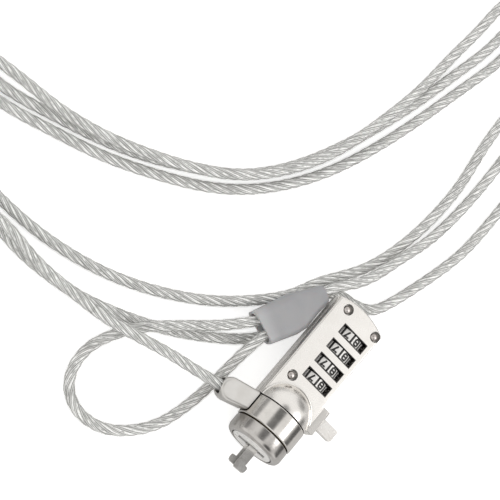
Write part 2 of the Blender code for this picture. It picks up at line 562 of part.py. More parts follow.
LOW_OUT += [(13.9, 54.1, 2), (10.0, 40.6, 2), (7.6, 33.8, 2), (4.7, 28.9, 2), (0.5, 26.4, 2),
    (-3.6, 25.2, 2), (-6.7, 24.6, 2)]
LOW_OUT += [(-9.4, 23.0, 2), (-11.3, 20.6, 2), (-12.3, 17.6, 2), (-12.7, 14.0, 2), (-13.4, 9.0, 2),
    (-15.0, 3.0, 2)]
LOW_OUT += [(-17.6, -3.4, 2), (-21.9, -9.0, 2), (-28.6, -15.0, 2), (-38.2, -22.0, 2), (-47.5, -27.5, 2),
    (-59.4, -33.0, 2)]
LOW_OUT += [(-72.9, -37.6, 2), (-86.1, -39.8, 2), (-96, -40.2, 2), (-106, -39.2, 2), (-122, -37.4, 2)]
TURN_3 = [(-140, -37.0, 2), (-147.2, -35.1, 2), (-152.5, -29.8, 2), (-154.4, -22.6, 2), (-152.5, -15.4, 2)]
TURN_3 += [(-147.2, -10.1, 2)]
UPPER_2 = [(-140, -8.4, 2), (-133.7, -7.7, 2), (-116.9, -3.0, 2), (-100.3, 2.9, 2), (-84.8, 10.4, 2)]
UPPER_2 += [(-70.4, 19.8, 2), (-60.9, 27.3, 2), (-50.8, 39.6, 2), (-42.1, 56.7, 2), (-35.1, 76.6, 2)]
UPPER_2 += [(-30.4, 94.2, 2), (-26.5, 113.0, 2), (-23.6, 130, 2)]
TURN_4 = [(-22.8, 146.6, 3.0), (-21.4, 151.8, 3.6), (-17.6, 155.6, 4.4), (-12.6, 157.0, 5.2),
    (-7.5, 155.6, 5.9)]
TURN_4 += [(-3.7, 151.8, 6.4), (-2.4, 146.6, 6.5)]
MIDDLE = [(-2.5, 137, 5.4), (-2.8, 127, 3.1), (-2.9, 118, 2.1), (-2.6, 108.2, 2), (-1.6, 98, 2),
    (0.2, 85, 2), (0.5, 72.1, 2)]
MIDDLE += [(-1.9, 52.0, 2), (-7.0, 36.5, 2), (-11.8, 28.3, 2), (-16.1, 21.1, 2), (-19.2, 14.2, 2),
    (-26.6, 3.9, 2)]
MIDDLE += [(-37.4, -7.0, 2), (-51.3, -17.0, 2), (-66.6, -24.8, 2), (-83.9, -30.2, 2), (-105.4, -32.9, 2)]
MIDDLE += [(-122, -32.8, 2)]
TURN_5 = [(-140, -32.6, 2), (-145, -31.3, 2), (-148.6, -27.7, 2), (-149.9, -22.8, 2), (-148.6, -17.9, 2),
    (-145, -14.3, 2)]
UPPER_3 = [(-140, -13.0, 2), (-130.7, -11.7, 2), (-113.5, -6.6, 2), (-96.9, -0.7, 2), (-81.5, 6.9, 2)]
UPPER_3 += [(-66.8, 15.9, 2), (-57.4, 23.6, 2), (-46.9, 36.0, 2), (-37.5, 52.7, 2), (-30.4, 72.6, 2)]
UPPER_3 += [(-25.8, 90.2, 2), (-21.7, 108.8, 2), (-19.6, 118.2, 2), (-18.0, 127.5, 2)]
TURN_6 = [(-17.3, 136.5, 2), (-15.8, 142.0, 2), (-11.8, 146.0, 2), (-6.3, 147.5, 2), (-0.8, 146.0, 2),
    (3.2, 142.0, 2)]
TURN_6 += [(4.7, 136.5, 2)]
TO_SLEEVE = [(5.6, 122, 2), (6.3, 104, 2), (6.7, 91.3, 2), (6.5, 80, 2), (5.3, 66.8, 2.4), (2.8, 56.9, 4.6)]
TO_SLEEVE += [(-0.2, 47.6, 5.6), (-3.5, 36.8, 6.4), (-6.9, 29.9, 6.5), (-9.8, 26.0, 6.6), (-12.2, 22.0, 7.0)]
TO_SLEEVE += [in_sleeve(24.4, 1.6), in_sleeve(19.5, 2.2), in_sleeve(14, LEG), in_sleeve(10, LEG),
    in_sleeve(6, LEG), in_sleeve(1, LEG)]
LOOP = [(-28.2, -8.3, 7.1), (-33.3, -14.0, 6.6), (-39.5, -19.9, 6.45), (-45.5, -25.7, 6.4),
    (-50.0, -30.3, 6.2)]
LOOP += [(-53.2, -34.5, 5.2), (-55.5, -38.8, 3.6), (-58.0, -45.9, 2.1), (-57.9, -53.4, 2), (-55.1, -59.1, 2)]
LOOP += [(-50.0, -62.5, 2), (-43.8, -63.2, 2), (-36.4, -60.8, 2), (-30.2, -55.6, 2), (-25.6, -49.0, 2)]
LOOP += [(-22.6, -40.0, 2), (-20.9, -29.7, 2), (-20.4, -21.9, 3.0), (-20.5, -15.1, 5.3), (-20.3, -9.7, 7.2)]
LOOP += [in_sleeve(1, -LEG), in_sleeve(5, -LEG), in_sleeve(9, -LEG), in_sleeve(13.6, -LEG)]
ROUTE = LEAD + FIRST_OUT + TURN_1 + UPPER_1 + TURN_2 + LOW_OUT + TURN_3 + UPPER_2 + TURN_4 + MIDDLE + TURN_5
ROUTE += UPPER_3 + TURN_6 + TO_SLEEVE + LOOP

line = smooth(ROUTE, 0.5)
line[:, 2] = np.maximum(line[:, 2], CABLE_R + 0.05)
LEAD_END = 53.0  # length of the first stretch
steps = np.concatenate([[0], np.cumsum(np.linalg.norm(np.diff(line, axis=0), axis=1))])


heading = np.gradient(line, steps, axis=0)
bend = np.linalg.norm(np.gradient(heading, steps, axis=0), axis=1)
# Points come closer together where the cable bends: about every 18 mm on a straight run, and
# 6 mm on a tight bend.
detail = np.concatenate([[0], np.cumsum((1.1 * bend[1:] + 1 / 18) * np.diff(steps))])


def stretch(low, high):
    first, last = np.interp((low, high), steps, detail)
    marks = np.interp(np.linspace(first, last, int(round(last - first)) + 1), detail, steps)
    marks[0], marks[-1] = low, high
    return [tuple(float(np.interp(m, steps, line[:, k])) for k in range(3)) for m in marks]


wire("cable_lead", stretch(0, LEAD_END), CABLE_R, SHEATH)
wire("lock_cable", stretch(LEAD_END + GAP, steps[-1]), CABLE_R, SHEATH)
snout = [in_sleeve(28, 1.1), in_sleeve(24.4, 1.6)]
snout += [in_sleeve(19.5, 2.2), in_sleeve(14.5, LEG), in_sleeve(12, LEG)]
combine(sleeve, wire("sleeve_channel", snout, 2.55, None))
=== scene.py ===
"""Laptop cable lock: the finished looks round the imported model. Metres, +Z up, in the model's own frame."""

import math

import bpy
import numpy as np
from mathutils import Matrix, Vector


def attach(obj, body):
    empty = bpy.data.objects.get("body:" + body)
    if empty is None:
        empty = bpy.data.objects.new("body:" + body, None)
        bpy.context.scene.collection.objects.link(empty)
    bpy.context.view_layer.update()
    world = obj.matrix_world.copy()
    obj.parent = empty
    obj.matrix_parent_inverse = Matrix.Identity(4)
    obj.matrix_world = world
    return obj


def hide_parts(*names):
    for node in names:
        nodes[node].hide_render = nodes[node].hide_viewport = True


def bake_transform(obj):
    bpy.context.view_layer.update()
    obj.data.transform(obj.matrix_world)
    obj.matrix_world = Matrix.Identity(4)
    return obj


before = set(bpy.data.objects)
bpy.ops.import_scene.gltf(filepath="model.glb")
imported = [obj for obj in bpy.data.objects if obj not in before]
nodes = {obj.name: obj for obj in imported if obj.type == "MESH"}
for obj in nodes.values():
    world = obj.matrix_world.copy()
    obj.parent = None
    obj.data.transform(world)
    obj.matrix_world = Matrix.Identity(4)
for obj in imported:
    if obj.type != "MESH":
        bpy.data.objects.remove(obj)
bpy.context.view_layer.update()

MM = 0.001
SLEEVE_AT, SLEEVE_TURN = (-22.3, -4.85, 7.85), math.radians(66)  # the loop sleeve's place and heading
DIAL_X, DIAL_Y, DIAL_Z = 1.9, (-5.45, 0.74, 6.93, 13.13), 7.45  # the dials' middles
DIALS = (1, 2, 3, 4)
NUMBERS = 10  # on each dial
WINDOW_SHADE, WINDOW_SHIFT = (5.46, 1.97), 0.05  # half sizes of the painted shade round a window, and its offset
END_WALL_X, END_WALL_TOP = 5.15, 13.55  # a window's end wall, left without painted shade: its distance from DIAL_X, and its height
scene = bpy.context.scene

# ---------------------------------------------------------------- camera
# Its place in mm and its axes, from a fit of the lock's visible corners and edges to the photograph.
CAMERA_AT = (-154.59, -135.22, 449.21)
CAMERA_RIGHT = (0.6757, 0.6308, 0.3816)
CAMERA_UP = (-0.6985, 0.7132, 0.0578)
CAMERA_FORWARD = (0.2357, 0.3056, -0.9225)
CAMERA_LENS, CAMERA_SENSOR = 108, 36

camera = bpy.data.objects.new("camera", bpy.data.cameras.new("camera"))
camera.data.lens, camera.data.sensor_width = CAMERA_LENS, CAMERA_SENSOR
camera.data.clip_start, camera.data.clip_end = 0.01, 20
turn = Matrix((CAMERA_RIGHT, CAMERA_UP, -Vector(CAMERA_FORWARD))).transposed()
camera.matrix_world = Matrix.Translation(Vector(CAMERA_AT) * MM) @ turn.to_4x4()
scene.collection.objects.link(camera)
scene.camera = camera


# ---------------------------------------------------------------- node helpers
class Shader:
    """Builds one node tree, with a short call for each node."""

    def __init__(self, name):
        self.material = bpy.data.materials.new(name)
        self.material.use_nodes = True
        self.tree = self.material.node_tree
        self.tree.nodes.clear()
        self.out = self.add("OutputMaterial")

    def add(self, kind, inputs=None, **settings):
        node = self.tree.nodes.new("ShaderNode" + kind)
        for key, value in settings.items():
            setattr(node, key, value)
        for key, value in (inputs or {}).items():
            self.put(node.inputs[key], value)
        return node

    def put(self, socket, value):
        if isinstance(value, bpy.types.NodeSocket):
            self.tree.links.new(value, socket)
        elif isinstance(value, bpy.types.Node):
            self.tree.links.new(value.outputs[0], socket)
        else:
            socket.default_value = value

    def math(self, operation, a, b=0.0, clamp=False):
        return self.add("Math", {0: a, 1: b}, operation=operation, use_clamp=clamp)

    def ramp(self, value, low, high, to_low=0.0, to_high=1.0):
        return self.add("MapRange", {"Value": value, "From Min": low, "From Max": high, "To Min": to_low,
                                     "To Max": to_high}, interpolation_type="SMOOTHSTEP")

    def mix(self, factor, a, b):
        node = self.add("Mix", data_type="RGBA", blend_type="MIX")
        self.put(node.inputs["Factor"], factor)
        self.put(node.inputs[6], a)
        self.put(node.inputs[7], b)
        return node.outputs[2]

    def noise(self, scale, stretch=(1, 1, 1), detail=4.0, roughness=0.55):
        place = self.add("TexCoord").outputs["Object"]
        moved = self.add("Mapping", {"Vector": place, "Scale": stretch})
        return self.add("TexNoise", {"Vector": moved, "Scale": scale, "Detail": detail,
                                     "Roughness": roughness})


def rgb(red, green, blue):
    return (red, green, blue, 1.0)


def metal(name, colour, shade, rough, grain=(1, 1, 1), grain_scale=900.0, bump=0.02,
          painted_crevice_shade=0.72, metallic=1.0, rough_spread=0.08, rounding=0.12, windows=False, dial=False):
    """Bare or plated metal: fine grain along one axis, a slow change of tone, painted shade in crevices, soft
    corners.
    """
    m = Shader(name)
    tone = m.noise(160.0, detail=3.0)
    grain_noise = m.noise(grain_scale, grain, 5.0, 0.6)
    smear = m.noise(420.0, (1, 1, 1), 2.0)
    hollow = m.add("AmbientOcclusion", {"Distance": 1.6 * MM}, samples=4)
    base = m.mix(m.ramp(tone, 0.35, 0.7), rgb(*colour), rgb(*shade))
    # Painted shade: where ambient occlusion finds a crevice, the colour darkens towards a dark copy of the
    # shade tone.
    painted_shade_colour = rgb(*(0.22 * c for c in shade))
    base = m.mix(m.ramp(hollow.outputs["AO"], 0.25, 0.95, painted_crevice_shade, 0.0), base, painted_shade_colour)
    if windows:
        # Painted shade: the cut walls of the dial windows and a narrow band round their edges are coloured
        # near black.
        place = m.add("SeparateXYZ", {0: m.add("TexCoord").outputs["Object"]})
        from_middle = m.math("ABSOLUTE", m.math("SUBTRACT", place.outputs[0], DIAL_X * MM))
        beside = m.math("SUBTRACT", from_middle, WINDOW_SHADE[0] * MM)
        nearest = 1.0
        for y in DIAL_Y:
            middle = (y - WINDOW_SHIFT) * MM
            from_middle = m.math("ABSOLUTE", m.math("SUBTRACT", place.outputs[1], middle))
            above = m.math("SUBTRACT", from_middle, WINDOW_SHADE[1] * MM)
            nearest = m.math("MINIMUM", nearest, above)
        outside = m.math("MAXIMUM", beside, nearest)
        window_shade = m.ramp(outside, -0.04 * MM, 0.04 * MM, 0.92, 0.0)
        # The far end wall is left without the painted shade.
        end_wall = m.math("MULTIPLY", m.math("GREATER_THAN", place.outputs[0], (DIAL_X + END_WALL_X) * MM),
                          m.math("LESS_THAN", place.outputs[2], END_WALL_TOP * MM))
        window_shade = m.math("MULTIPLY", window_shade, m.math("SUBTRACT", 1.0, end_wall))
        base = m.mix(window_shade, base, rgb(0.03, 0.029, 0.028))
    if dial:
        # Painted shade: a dark band over the notch between two numbers.
        place = m.add("SeparateXYZ", {0: m.add("TexCoord").outputs["Object"]})
        turned = m.math("ARCTAN2", m.math("SUBTRACT", place.outputs[0], DIAL_X * MM),
                        m.math("SUBTRACT", place.outputs[2], DIAL_Z * MM))
        notch_shade = m.math("COSINE", m.math("MULTIPLY", turned, float(NUMBERS)))
        base = m.mix(m.ramp(notch_shade, 0.80, 0.87, 0.0, 0.9), base, rgb(0.05, 0.048, 0.045))
    spread = m.ramp(smear, 0.3, 0.75, rough - rough_spread / 2, rough + rough_spread / 2)
    uneven = m.math("MULTIPLY_ADD", grain_noise, rough_spread)
    uneven.inputs[2].default_value = -rough_spread / 2
    total = m.math("ADD", spread, uneven, clamp=True)
    corner = m.add("Bevel", {"Radius": rounding * MM}, samples=4)
    relief = m.add("Bump", {"Strength": 1.0, "Distance": bump * MM, "Height": grain_noise, "Normal": corner})
    shader = m.add("BsdfPrincipled", {"Base Color": base, "Metallic": metallic, "Roughness": total,
                                      "Normal": relief})
    m.put(m.out.inputs["Surface"], shader)
    return m.material


def cable_steel():
    """Twisted steel wires, turning on each strand by the mesh's UVs, with painted shade between the wires,
    painted highlights on their crests and in glints, and glowing lines of painted light between strands.
    """
    m = Shader("cable_steel")
    uv = m.add("UVMap", uv_map="lay")
    split = m.add("SeparateXYZ", {0: uv})
    across, along = split.outputs[0], split.outputs[1]
    turns = m.math("ADD", m.math("MULTIPLY", across, 5.5), m.math("MULTIPLY", along, 0.12 / MM))
    wave = m.math("SINE", m.math("MULTIPLY", turns, 2 * math.pi))
    wires = m.ramp(wave, -0.95, 0.45)
    drawn = m.add("CombineXYZ", {0: m.math("MULTIPLY", turns, 0.9), 1: m.math("MULTIPLY", along, 190.0)})
    glint = m.add("TexNoise", {"Vector": drawn, "Scale": 1.0, "Detail": 4.0, "Roughness": 0.7})
    fleck = m.noise(520.0, detail=2.0)
    # Painted light: lines along the edges between strands are coloured white and glow, broken up by the fleck
    # noise.
    edge = m.ramp(m.math("ABSOLUTE", across), 0.165, 0.215)
    painted_light_lines = m.math("MULTIPLY", edge, m.ramp(fleck, 0.38, 0.56, 0.2, 1.0))
    tone = m.noise(130.0, detail=2.0)
    base = m.mix(m.ramp(tone, 0.3, 0.75), rgb(0.73, 0.73, 0.715), rgb(0.58, 0.58, 0.565))
    # Painted highlights: bright streaks where the glint noise is high; darker streaks where it is low.
    base = m.mix(m.ramp(glint, 0.5, 0.6, 0.0, 0.9), base, rgb(1.0, 1.0, 0.985))
    base = m.mix(m.ramp(glint, 0.47, 0.36, 0.0, 0.8), base, rgb(0.34, 0.34, 0.33))
    # Painted shade between the wires, and painted highlights on their crests.
    base = m.mix(m.ramp(wires, 0.0, 1.0, 0.9, 0.0), base, rgb(0.27, 0.27, 0.26))
    base = m.mix(m.ramp(wave, 0.35, 0.95, 0.0, 0.6), base, rgb(1.0, 1.0, 0.985))
    base = m.mix(painted_light_lines, base, rgb(1.0, 1.0, 0.99))
    relief = m.add("Bump", {"Strength": 0.8, "Distance": 0.09 * MM, "Height": wires})
    shader = m.add("BsdfPrincipled", {"Base Color": base, "Metallic": 0.4, "Roughness": 0.27,
                                      "Normal": relief, "Emission Color": rgb(1.0, 1.0, 0.99),
                                      "Emission Strength": m.math("MULTIPLY", painted_light_lines, 0.2)})
    m.put(m.out.inputs["Surface"], shader)
    return m.material


def clear_sheath():
    """Clear soft plastic over the wires: what is behind shows, under a milky veil and a glossy skin."""
    m = Shader("clear_sheath")
    scuff = m.noise(260.0, detail=4.0)
    clear = m.add("BsdfTransparent", {"Color": rgb(0.985, 0.985, 0.98)})
    veil = m.add("BsdfDiffuse", {"Color": rgb(0.93, 0.93, 0.92)})
    body = m.add("MixShader", {0: m.ramp(scuff, 0.3, 0.8, 0.05, 0.12), 1: clear, 2: veil})
    polish = m.ramp(scuff, 0.3, 0.75, 0.16, 0.34)
    gloss = m.add("BsdfGlossy", {"Color": rgb(0.95, 0.95, 0.95), "Roughness": polish})
    edge = m.add("Fresnel", {"IOR": 1.46})
    skin = m.add("MixShader", {0: edge, 1: body, 2: gloss})
    side = m.add("NewGeometry").outputs["Backfacing"]
    whole = m.add("MixShader", {0: side, 1: skin, 2: clear})
    m.put(m.out.inputs["Surface"], whole)
    return m.material


def plastic(name, colour, shade, rough, bump=0.03, through=0.12):
    """Matte moulded plastic with a fine grain and a faint mottle."""
    m = Shader(name)
    mottle = m.noise(75.0, detail=3.0)
    grain = m.noise(1700.0, detail=3.0)
    worn = m.noise(300.0, detail=4.0)
    base = m.mix(m.ramp(mottle, 0.3, 0.7), rgb(*colour), rgb(*shade))
    # Painted light: the colour is lighter towards the open end, for the light that comes through its thin
    # wall.
    to_sleeve = tuple(-c * MM for c in SLEEVE_AT)
    spot = m.add("VectorMath", {0: m.add("TexCoord").outputs["Object"], 1: to_sleeve}, operation="ADD")
    axis = (math.cos(SLEEVE_TURN) / MM, math.sin(SLEEVE_TURN) / MM, 0)
    along = m.add("VectorMath", {0: spot, 1: axis}, operation="DOT_PRODUCT").outputs["Value"]
    base = m.mix(m.ramp(along, 0.3, 5.5, 0.55, 0.0), base, rgb(0.66, 0.66, 0.665))
    corner = m.add("Bevel", {"Radius": 0.3 * MM}, samples=4)
    relief = m.add("Bump", {"Strength": 1.0, "Distance": bump * MM, "Height": grain, "Normal": corner})
    polish = m.ramp(worn, 0.3, 0.75, rough - 0.07, rough + 0.08)
    shader = m.add("BsdfPrincipled", {"Base Color": base, "Roughness": polish, "Normal": relief,
                                      "Subsurface Weight": through, "Subsurface Scale": 2 * MM})
    m.put(m.out.inputs["Surface"], shader)
    return m.material


def ink():
    # Black ink for the printed numbers, also used for the painted shade in the notches.
    m = Shader("dial_ink_and_notch_shade")
    wear = m.noise(2200.0, detail=3.0)
    base = m.mix(m.ramp(wear, 0.35, 0.7), rgb(0.012, 0.011, 0.010), rgb(0.035, 0.033, 0.030))
    shader = m.add("BsdfPrincipled", {"Base Color": base, "Roughness": m.ramp(wear, 0.3, 0.7, 0.4, 0.6)})
    m.put(m.out.inputs["Surface"], shader)
    return m.material


NICKEL, NICKEL_SHADE = (0.88, 0.855, 0.82), (0.80, 0.765, 0.725)
STEEL, STEEL_SHADE = (0.60, 0.60, 0.60), (0.49, 0.48, 0.47)
BRASS, BRASS_SHADE = (0.80, 0.62, 0.31), (0.62, 0.46, 0.22)
LOOKS = {
    "nickel_cover": metal("nickel_cover", NICKEL, (0.855, 0.826, 0.79),
                          0.26, (9, 1, 9), 350.0, 0.003, rough_spread=0.05, windows=True),
    "nickel_round": metal("nickel_round", (0.77, 0.745, 0.71), (0.68, 0.655, 0.62),
                          0.16, (1, 5, 1), 500.0, 0.010),
    "nickel_housing": metal("nickel_housing", (0.88, 0.86, 0.83), (0.79, 0.76, 0.725),
                            0.27, (1, 1, 1), 1200.0, 0.008, 0.35, 0.3),
    "nickel_knob": metal("nickel_knob", (0.60, 0.58, 0.555), (0.45, 0.43, 0.41),
                         0.18, (1, 5, 1), 500.0, 0.010),
    "nickel_disc": metal("nickel_disc", (0.97, 0.96, 0.94), (0.93, 0.915, 0.89),
                         0.3, (1, 1, 1), 900.0, 0.004, 0.8, 0.3),
    "nickel_boss": metal("nickel_boss", (0.73, 0.715, 0.69), (0.66, 0.64, 0.61),
                         0.34, (1, 1, 1), 1100.0, 0.01),
    "nickel_dial": metal("nickel_dial", (0.97, 0.955, 0.93), (0.90, 0.88, 0.85),
                         0.42, (1, 6, 1), 900.0, 0.01, 0.0, 0.15, dial=True),
    "hook_steel": metal("hook_steel", (0.95, 0.935, 0.91), (0.74, 0.72, 0.69),
                        0.2, (1, 1, 1), 1400.0, 0.008, 0.9, 0.75),
    "turned_steel": metal("turned_steel", STEEL, STEEL_SHADE, 0.30, (1, 14, 1), 600.0, 0.02),
    "spring_steel": metal("spring_steel", (0.50, 0.50, 0.52), (0.40, 0.40, 0.42),
                          0.30, (1, 1, 1), 1200.0, 0.02),
    "rivet_steel": metal("rivet_steel", (0.74, 0.70, 0.67), (0.62, 0.57, 0.54),
                         0.3, (1, 1, 1), 1500.0, 0.03, 0.35),
    "brass": metal("brass", BRASS, BRASS_SHADE, 0.30, (1, 12, 1), 600.0, 0.02),
    "aluminium": metal("aluminium", (0.80, 0.80, 0.81), (0.68, 0.68, 0.70), 0.36, (1, 1, 1), 1100.0, 0.04),
    "grey_plastic": plastic("grey_plastic", (0.43, 0.43, 0.44), (0.385, 0.385, 0.40), 0.5),
    "dial_ink_and_notch_shade": ink(),
    "cable_steel": cable_steel(),
    "clear_sheath": clear_sheath(),
}

# ---------------------------------------------------------------- cable
AXIS_Z = 10.7
BOSS_START_Y, BOSS_ANGLE = -21.6, math.radians(16.5)
LEG = 2.6
CABLE_R = 2.0
LEAD_END = 53.0
boss_pose = Matrix.Translation((0, BOSS_START_Y, AXIS_Z)) @ Matrix.Rotation(math.pi + BOSS_ANGLE, 4, "Z")
sleeve_pose = Matrix.Translation(SLEEVE_AT) @ Matrix.Rotation(SLEEVE_TURN, 4, "Z")


def in_boss(s):
    return tuple(boss_pose @ Vector((s, 0, 0)))


def in_sleeve(along, across):
    return tuple(sleeve_pose @ Vector((along, across, 0)))


def smooth(points, spacing):
    """Points about a spacing apart on a natural cubic curve through the given ones."""
    points = np.array(points, float)
    t = np.concatenate([[0], np.cumsum(np.linalg.norm(np.diff(points, axis=0), axis=1))])
    n = len(points)
    h = np.diff(t)
    matrix, right = np.eye(n), np.zeros((n, 3))
    for i in range(1, n - 1):
        matrix[i, i - 1 : i + 2] = h[i - 1], 2 * (h[i - 1] + h[i]), h[i]
        right[i] = 6 * ((points[i + 1] - points[i]) / h[i] - (points[i] - points[i - 1]) / h[i - 1])
    bend = np.linalg.solve(matrix, right)
    s = np.linspace(0, t[-1], max(int(round(t[-1] / spacing)), 2) + 1)
    i = np.clip(np.searchsorted(t, s, side="right") - 1, 0, n - 2)
    a, b, w = (t[i + 1] - s)[:, None], (s - t[i])[:, None], h[i][:, None]
    low = bend[i] * a**3 / (6 * w) + (points[i] / w - bend[i] * w / 6) * a
    return low + bend[i + 1] * b**3 / (6 * w) + (points[i + 1] / w - bend[i + 1] * w / 6) * b


# The route in mm, as in part.py: the first stretch is the lead from the ring, and the rest lies round
# the lock. Points in view were placed by projecting marks on the photograph through the fitted camera, and
# many stand as that gave them. The turns are out of view and were set one by one.
LEAD = [in_boss(15.7), in_boss(19), in_boss(22.2), (-25.4, -28.9, 10.5), (-30.5, -30.0, 10.0),
        (-37.5, -31.5, 9.7)]
LEAD += [(-47.0, -34.0, 9.6), (-55.6, -36.4, 9.4), (-64.5, -38.1, 8.4)]
FIRST_OUT = [(-73.8, -38.9, 7.0), (-83.2, -39.7, 6.5), (-91.9, -39.6, 6.45), (-100.7, -38.7, 6.4),
             (-110, -39.0, 6.4)]
FIRST_OUT += [(-122, -40.6, 5.4), (-133, -41.7, 2.8), (-140, -41.8, 2.1)]
TURN_1 = [(-149.6, -39.2, 2), (-156.6, -32.2, 2), (-159.2, -22.6, 2), (-156.6, -13.0, 2), (-149.6, -6.0, 2)]
UPPER_1 = [(-140, -3.4, 2.9), (-129, -2.2, 4.8), (-119.4, -1.4, 6.1), (-102.0, 2.9, 6.4), (-86.1, 9.8, 6.4)]
UPPER_1 += [(-71.2, 18.3, 6.4), (-61.5, 25.6, 6.4), (-51.4, 37.5, 6.4), (-42.6, 54.2, 6.4),
            (-36.9, 75.5, 6.3)]
UPPER_1 += [(-34.8, 87, 6.0), (-33.4, 96.2, 4.8), (-32.4, 107, 3.0), (-31.6, 118.7, 2), (-30.9, 129.8, 2)]
TURN_2 = [(-30.6, 141.6, 2), (-27.5, 153.4, 2), (-18.9, 162.0, 2), (-7.1, 165.1, 2), (4.7, 162.0, 2),
          (13.3, 153.4, 2)]
LOW_OUT = [(16.4, 141.6, 2), (16.9, 126, 2), (17.2, 108, 2), (17.4, 94, 2), (17.4, 80.6, 2), (16.6, 66.7, 2)]
LOW_OUT += [(13.9, 54.1, 2), (10.0, 40.6, 2), (7.6, 33.8, 2), (4.7, 28.9, 2), (0.5, 26.4, 2),
            (-3.6, 25.2, 2), (-6.7, 24.6, 2)]
LOW_OUT += [(-9.4, 23.0, 2), (-11.3, 20.6, 2), (-12.3, 17.6, 2), (-12.7, 14.0, 2), (-13.4, 9.0, 2),
            (-15.0, 3.0, 2)]
LOW_OUT += [(-17.6, -3.4, 2), (-21.9, -9.0, 2), (-28.6, -15.0, 2), (-38.2, -22.0, 2), (-47.5, -27.5, 2),
            (-59.4, -33.0, 2)]
LOW_OUT += [(-72.9, -37.6, 2), (-86.1, -39.8, 2), (-96, -40.2, 2), (-106, -39.2, 2), (-122, -37.4, 2)]
TURN_3 = [(-140, -37.0, 2), (-147.2, -35.1, 2), (-152.5, -29.8, 2), (-154.4, -22.6, 2), (-152.5, -15.4, 2)]
TURN_3 += [(-147.2, -10.1, 2)]
UPPER_2 = [(-140, -8.4, 2), (-133.7, -7.7, 2), (-116.9, -3.0, 2), (-100.3, 2.9, 2), (-84.8, 10.4, 2)]
UPPER_2 += [(-70.4, 19.8, 2), (-60.9, 27.3, 2), (-50.8, 39.6, 2), (-42.1, 56.7, 2), (-35.1, 76.6, 2)]
UPPER_2 += [(-30.4, 94.2, 2), (-26.5, 113.0, 2), (-23.6, 130, 2)]
TURN_4 = [(-22.8, 146.6, 3.0), (-21.4, 151.8, 3.6), (-17.6, 155.6, 4.4), (-12.6, 157.0, 5.2),
          (-7.5, 155.6, 5.9)]
TURN_4 += [(-3.7, 151.8, 6.4), (-2.4, 146.6, 6.5)]
MIDDLE = [(-2.5, 137, 5.4), (-2.8, 127, 3.1), (-2.9, 118, 2.1), (-2.6, 108.2, 2), (-1.6, 98, 2),
          (0.2, 85, 2), (0.5, 72.1, 2)]
MIDDLE += [(-1.9, 52.0, 2), (-7.0, 36.5, 2), (-11.8, 28.3, 2), (-16.1, 21.1, 2), (-19.2, 14.2, 2),
           (-26.6, 3.9, 2)]
MIDDLE += [(-37.4, -7.0, 2), (-51.3, -17.0, 2), (-66.6, -24.8, 2), (-83.9, -30.2, 2), (-105.4, -32.9, 2)]
MIDDLE += [(-122, -32.8, 2)]
TURN_5 = [(-140, -32.6, 2), (-145, -31.3, 2), (-148.6, -27.7, 2), (-149.9, -22.8, 2), (-148.6, -17.9, 2),
          (-145, -14.3, 2)]
UPPER_3 = [(-140, -13.0, 2), (-130.7, -11.7, 2), (-113.5, -6.6, 2), (-96.9, -0.7, 2), (-81.5, 6.9, 2)]
UPPER_3 += [(-66.8, 15.9, 2), (-57.4, 23.6, 2), (-46.9, 36.0, 2), (-37.5, 52.7, 2), (-30.4, 72.6, 2)]
UPPER_3 += [(-25.8, 90.2, 2), (-21.7, 108.8, 2), (-19.6, 118.2, 2), (-18.0, 127.5, 2)]
TURN_6 = [(-17.3, 136.5, 2), (-15.8, 142.0, 2), (-11.8, 146.0, 2), (-6.3, 147.5, 2), (-0.8, 146.0, 2),
          (3.2, 142.0, 2)]
TURN_6 += [(4.7, 136.5, 2)]
TO_SLEEVE = [(5.6, 122, 2), (6.3, 104, 2), (6.7, 91.3, 2), (6.5, 80, 2), (5.3, 66.8, 2.4), (2.8, 56.9, 4.6)]
TO_SLEEVE += [(-0.2, 47.6, 5.6), (-3.5, 36.8, 6.4), (-6.9, 29.9, 6.5), (-9.8, 26.0, 6.6), (-12.2, 22.0, 7.0)]
TO_SLEEVE += [in_sleeve(24.4, 1.6), in_sleeve(19.5, 2.2), in_sleeve(14, LEG), in_sleeve(10, LEG),
              in_sleeve(6, LEG), in_sleeve(1, LEG)]
LOOP = [(-28.2, -8.3, 7.1), (-33.3, -14.0, 6.6), (-39.5, -19.9, 6.45), (-45.5, -25.7, 6.4),
        (-50.0, -30.3, 6.2)]
LOOP += [(-53.2, -34.5, 5.2), (-55.5, -38.8, 3.6), (-58.0, -45.9, 2.1), (-57.9, -53.4, 2), (-55.1, -59.1, 2)]
LOOP += [(-50.0, -62.5, 2), (-43.8, -63.2, 2), (-36.4, -60.8, 2), (-30.2, -55.6, 2), (-25.6, -49.0, 2)]
LOOP += [(-22.6, -40.0, 2), (-20.9, -29.7, 2), (-20.4, -21.9, 3.0), (-20.5, -15.1, 5.3), (-20.3, -9.7, 7.2)]
LOOP += [in_sleeve(1, -LEG), in_sleeve(5, -LEG), in_sleeve(9, -LEG), in_sleeve(13.6, -LEG)]
ROUTE = LEAD + FIRST_OUT + TURN_1 + UPPER_1 + TURN_2 + LOW_OUT + TURN_3 + UPPER_2 + TURN_4 + MIDDLE + TURN_5
ROUTE += UPPER_3 + TURN_6 + TO_SLEEVE + LOOP

line = smooth(ROUTE, 0.5)
line[:, 2] = np.maximum(line[:, 2], CABLE_R + 0.05)
reach = np.concatenate([[0], np.cumsum(np.linalg.norm(np.diff(line, axis=0), axis=1))])

ROPE_R = 1.78  # over the strands, inside the sheath
STRANDS = 6
STRAND_R = ROPE_R / 3
STRAND_AT = 2 * STRAND_R
LAY = 24.0  # one turn of a strand, mm
STRAND_POINTS = (-118, -78, -39, 0, 39, 78, 118)  # degrees round a strand, from its outer side
RING_STEP, SHEATH_EVERY, SHEATH_SIDES = 1.15, 2, 16


def along_line(marks):
    return np.stack([np.interp(marks, reach, line[:, k]) for k in range(3)], axis=1)


